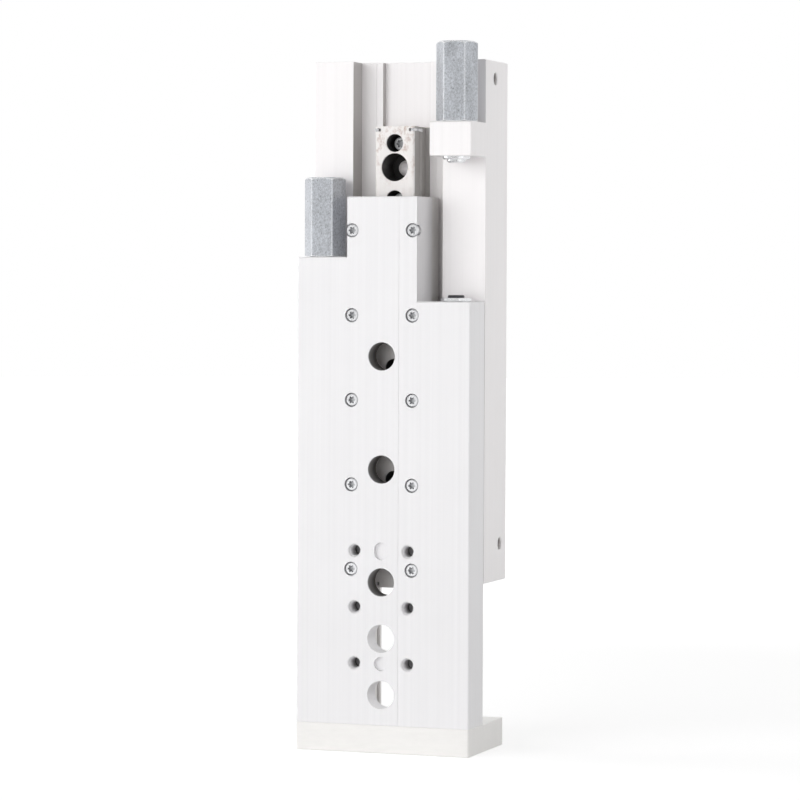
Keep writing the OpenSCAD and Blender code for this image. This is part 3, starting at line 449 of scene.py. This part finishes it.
def rust_bloom(finish):
    """Patches of rust by the guide rail's upper end."""
    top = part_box("guide_rail")[1].z
    bloom = finish.grain((420, 420, 260), detail=4.0, roughness=0.65)
    return finish.all_of(
        finish.fit(bloom, 0, 0.75, 0.5, 0.68),
        finish.fit(finish.along(Z), 0.12, 1, top - 24 * MM, top - 2 * MM),
    )


def rail_flank_shade(finish):
    """1 on the guide rail's flanks, for painted shade there."""
    low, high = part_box("guide_rail")
    inner = RAIL_HEAD_HALF - RAIL_TRACK_DEPTH
    return finish.all_of(
        finish.past(finish.away(X, (low.x + high.x) / 2), inner, inner + STEP),
        finish.past(finish.along(Y), low.y + 0.55 * MM, low.y + 0.8 * MM),
        finish.short_of(finish.along(Z), high.z - 4 * STEP, high.z - 2 * STEP),
    )


def rail_seat_shade(finish):
    """1 in the guide rail's holes, down to the seats of their screws, for painted shade there."""
    low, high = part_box("guide_rail")
    half_length = (high.z - low.z) / 2
    return finish.all_of(
        finish.short_of(finish.away(X, (low.x + high.x) / 2), RAIL_HOLE_R + STEP, RAIL_HOLE_R + 2 * STEP),
        finish.past(finish.along(Y), low.y + 0.15 * MM, low.y + 1.2 * MM),
        finish.short_of(finish.along(Y), RAIL_SEAT_Y, RAIL_SEAT_Y + STEP),
        finish.short_of(finish.away(Z, (low.z + high.z) / 2), half_length - 0.4 * MM, half_length - 0.3 * MM),
    )


# ---------------------------------------------------------------- threads

def thread(name, start, along, across, hole_r, length, body, finish):
    """A helical ridge on the wall of a hole, from start along it. across is any direction square to that."""
    root = across * (hole_r + THREAD_BITE)
    crest = across * (hole_r - THREAD_DEPTH)
    half = along * RIDGE_HALF * THREAD_PITCH
    ridge = bmesh.new()
    corners = [ridge.verts.new(start + offset) for offset in (root, crest + half, root + 2 * half)]
    sides = [ridge.edges.new((corners[i], corners[(i + 1) % 3])) for i in range(3)]
    turns = length / THREAD_PITCH - 2 * RIDGE_HALF
    steps = round(turns * STEPS_A_TURN)
    bmesh.ops.spin(ridge, geom=corners + sides, cent=start, axis=along,
        dvec=along * (turns * THREAD_PITCH / steps), angle=turns * 2 * math.pi, steps=steps, use_merge=False)
    bmesh.ops.holes_fill(ridge, edges=ridge.edges, sides=3)
    bmesh.ops.recalc_face_normals(ridge, faces=ridge.faces)
    mesh = bpy.data.meshes.new(name)
    ridge.to_mesh(mesh)
    ridge.free()
    piece = bpy.data.objects.new(name, mesh)
    bpy.context.scene.collection.objects.link(piece)
    wear(piece, finish)
    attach(piece, body)


def load_hole_mouths():
    """The mouths of the six threaded load holes, in the plate's front face."""
    corners = mounts["slide_load_holes"]
    middle = Vector(corners["pos_m"])
    half_x, half_z = half_spacings(corners)
    return [middle + RIGHT * x + UP * z for z in (-half_z, 0, half_z) for x in (-half_x, half_x)]


def thread_holes(plate_finish, port_finish):
    """The threads of the load holes and of the two air ports."""
    load_r = mounts["slide_load_holes"]["dims"]["hole_r_mm"] * MM
    for index, mouth in enumerate(load_hole_mouths(), 1):
        thread(f"load_hole_thread_{index}", mouth + BACK * THREAD_SINK, BACK, RIGHT,
            load_r, LOAD_THREAD_LENGTH, "slide", plate_finish)
    for name in ("air_port_top", "air_port_bottom"):
        mouth = Vector(mounts[name]["pos_m"])
        mouth.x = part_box("housing")[1].x
        port_r = mounts[name]["dims"]["r_mm"] * MM
        thread(f"{name}_thread", mouth - RIGHT * THREAD_SINK, -RIGHT, UP,
            port_r, PORT_THREAD_LENGTH, "housing", port_finish)


# ---------------------------------------------------------------- studio

def map_range(nodes, links, value, low, high, start=0, end=1):
    """value from start to end becomes low to high. low and high are numbers or other values."""
    span = nodes.new("ShaderNodeMapRange")
    span.inputs["From Min"].default_value = start
    span.inputs["From Max"].default_value = end
    for name, bound in (("To Min", low), ("To Max", high)):
        if isinstance(bound, (int, float)):
            span.inputs[name].default_value = bound
        else:
            links.new(bound, span.inputs[name])
    links.new(value, span.inputs["Value"])
    return span.outputs["Result"]


def rays(nodes, links, *kinds):
    """1 for those kinds of ray, and 0 for all the others."""
    path = nodes.new("ShaderNodeLightPath")
    found = path.outputs[kinds[0]]
    for kind in kinds[1:]:
        either = nodes.new("ShaderNodeMath")
        either.operation = "MAXIMUM"
        links.new(found, either.inputs[0])
        links.new(path.outputs[kind], either.inputs[1])
        found = either.outputs["Value"]
    return found


def light_room(level, dim_end):
    """A white room that lights the object at level. Reflections see it dimmer towards -Y."""
    world = bpy.data.worlds.new("white_room")
    bpy.context.scene.world = world
    world.use_nodes = True
    nodes = world.node_tree.nodes
    links = world.node_tree.links
    background = nodes["Background"]
    background.inputs["Color"].default_value = (1, 1, 1, 1)
    split = nodes.new("ShaderNodeSeparateXYZ")
    links.new(nodes.new("ShaderNodeTexCoord").outputs["Generated"], split.inputs["Vector"])
    mirrored = map_range(nodes, links, split.outputs["Y"], dim_end, 1, start=-1, end=-0.3)
    unseen = map_range(nodes, links, rays(nodes, links, "Is Glossy Ray"), level, mirrored)
    seen = rays(nodes, links, "Is Camera Ray", "Is Transmission Ray")
    links.new(map_range(nodes, links, seen, unseen, 1), background.inputs["Strength"])


def lay_floor(radius, colour, glow_near, glow_far):
    """A wide pale disc. It glows a little to the camera and in reflections, so it meets the white room."""
    disc = bmesh.new()
    bmesh.ops.create_circle(disc, cap_ends=True, segments=96, radius=radius)
    mesh = bpy.data.meshes.new("floor")
    disc.to_mesh(mesh)
    disc.free()
    floor = bpy.data.objects.new("floor", mesh)
    bpy.context.scene.collection.objects.link(floor)
    material = bpy.data.materials.new("floor_paint")
    material.use_nodes = True
    nodes = material.node_tree.nodes
    links = material.node_tree.links
    shader = nodes["Principled BSDF"]
    shader.inputs["Base Color"].default_value = (*colour, 1)
    shader.inputs["Roughness"].default_value = 0.9
    shader.inputs["Specular IOR Level"].default_value = 0.1
    shader.inputs["Emission Color"].default_value = (1, 1, 1, 1)
    out = nodes.new("ShaderNodeVectorMath")
    out.operation = "LENGTH"
    links.new(nodes.new("ShaderNodeTexCoord").outputs["Object"], out.inputs[0])
    glow = map_range(nodes, links, out.outputs["Value"], glow_near, glow_far, start=0.35, end=0.9)
    seen = nodes.new("ShaderNodeMath")
    seen.operation = "MULTIPLY"
    links.new(glow, seen.inputs[0])
    links.new(rays(nodes, links, "Is Camera Ray", "Is Glossy Ray", "Is Transmission Ray"), seen.inputs[1])
    links.new(seen.outputs["Value"], shader.inputs["Emission Strength"])
    wear(floor, material)


def hang_softbox(name, at, aim, width, height, radiance, mirrored=True):
    """A soft lamp of that size, turned to aim, as bright as a white card of that radiance."""
    lamp = bpy.data.lights.new(name, "AREA")
    lamp.shape = "RECTANGLE"
    lamp.size = width
    lamp.size_y = height
    lamp.energy = radiance * math.pi * width * height
    softbox = bpy.data.objects.new(name, lamp)
    softbox.location = at
    softbox.rotation_euler = (aim - at).to_track_quat("-Z", "Y").to_euler()
    softbox.visible_camera = False
    softbox.visible_glossy = mirrored
    bpy.context.scene.collection.objects.link(softbox)


def place_camera(at, yaw, dip, roll, lens):
    """A level view turned by yaw to the left, dipped and rolled a little."""
    camera = bpy.data.cameras.new("camera")
    camera.lens = lens
    camera.sensor_width = 36
    camera.clip_end = 20
    viewer = bpy.data.objects.new("camera", camera)
    viewer.matrix_world = (
        Matrix.Translation(at)
        @ Matrix.Rotation(math.radians(yaw), 4, "Z")
        @ Matrix.Rotation(math.radians(90 - dip), 4, "X")
        @ Matrix.Rotation(math.radians(roll), 4, "Z")
    )
    bpy.context.scene.collection.objects.link(viewer)
    bpy.context.scene.camera = viewer


# ---------------------------------------------------------------- the scene

def finish_nodes():
    """Gives every node its finish, and returns the slide plate's."""
    finishes = {
        "anodised_aluminium": drawn_aluminium("anodised_aluminium", (0.86, 0.852, 0.866)),
        "ground_steel": ground_steel(),
        "bright_steel": bright_steel(),
        "zinc_plate": blue_zinc(),
        "black_steel": black_steel(),
        "bronze": bearing_bronze(),
        "rubber": nitrile(),
        "resin": sliding_resin(),
    }
    for part in frame["record"]["subparts"]:
        wear(frame["nodes"][part["node"]], finishes[part["material_slot"]])
    # The slide's aluminium, with painted shade in its load holes and access holes
    plate_finish = drawn_aluminium("slide_aluminium", (0.885, 0.877, 0.888), slide_bore_shade, PAINTED_BORE_SHADE)
    own = {
        "yoke": milled_aluminium(),
        "slide_plate": plate_finish,
        # The housing's aluminium is lighter than the slide's as painted light that lifts its recessed front
        # out of the slide's shade; its channel walls get painted shade
        "housing": drawn_aluminium("housing_aluminium", (0.965, 0.943, 0.945), channel_wall_shade, CHANNEL_WALL_SHADE),
        "guide_rail": rail_steel(),
    }
    for screws in ("outer_rail_screws", "guide_rail_screws"):
        own[screws] = bright_steel(f"{screws}_steel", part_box(screws)[0].y)
    for node, finish in own.items():
        wear(frame["nodes"][node], finish)
    return plate_finish


def main():
    thread_holes(finish_nodes(), cut_thread())

    bpy.context.scene.view_settings.view_transform = "Standard"
    middle = (cad_box[0] + cad_box[1]) / 2
    light_room(level=0.36, dim_end=0.5)
    lay_floor(radius=5.0, colour=(0.85, 0.85, 0.85), glow_near=0.5, glow_far=0.75)
    hang_softbox("key", middle + Vector((-0.85, -1.8, 0.1)), middle, 2.0, 2.0, 3.0, mirrored=False)
    hang_softbox("fill", middle + Vector((1.4, -1.0, 0.3)), middle, 1.2, 1.4, 0.65)
    hang_softbox("rim", middle + Vector((-1.6, -0.1, 0.3)), middle, 0.8, 1.4, 1.9)
    hang_softbox("backdrop", middle + Vector((0.1, 1.8, 0.2)), middle, 2.0, 2.0, 0.5)
    place_camera((0.416407, -1.160866, 0.165457), yaw=19.774, dip=1.886, roll=0.212, lens=154.73)


main()
